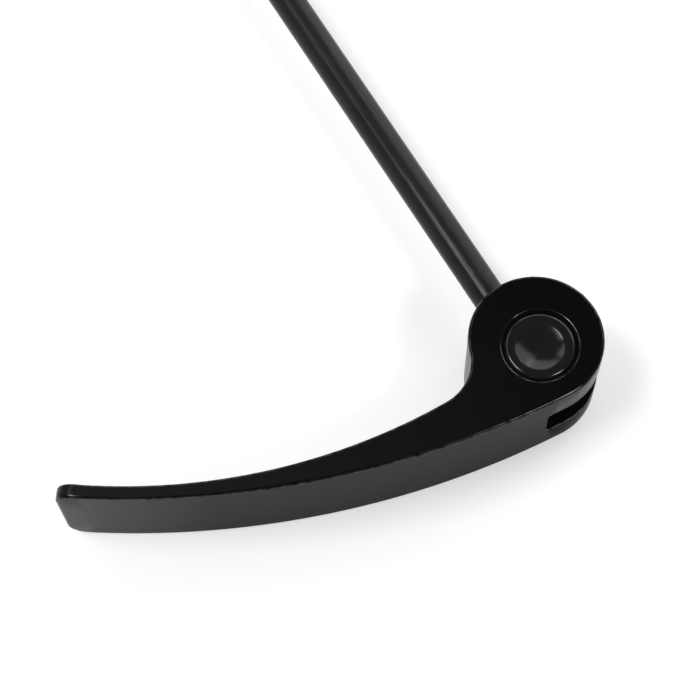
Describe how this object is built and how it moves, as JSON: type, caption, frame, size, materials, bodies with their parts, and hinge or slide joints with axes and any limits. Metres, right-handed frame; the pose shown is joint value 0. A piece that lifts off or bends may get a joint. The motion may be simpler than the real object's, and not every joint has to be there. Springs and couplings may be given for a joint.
{
  "type": "cam lever",
  "caption": "Forked cam head with a long bowed handle, turning on a round cross pin that holds a slim rod; swinging the handle over pulls the rod tight.",
  "frame": {"origin": "on the rod's axis, in the plane where the closed cam bears on what it clamps", "axes": "+Y along the rod towards its free end, +Z along the barrel's axis, -X towards the closed handle; the part lies on its lower cheek"},
  "size_m": [0.0777, 0.139, 0.0162],
  "materials": {
    "lever_black": "satin black anodised, edges polished a little by handling",
    "barrel_black": "black oxide with fine turning marks",
    "rod_black": "dull black oxide"
  },
  "bodies": {
    "skewer": {"rod": "rod_black", "barrel": "barrel_black"},
    "lever": {"lever": "lever_black"}
  },
  "joints": [
    {"name": "lever_pivot", "type": "hinge", "parent": "skewer", "child": "lever", "pos_m": [0, -0.01069, 0], "axis": [0, 0, 1], "range_deg": [0, 180]}
  ]
}
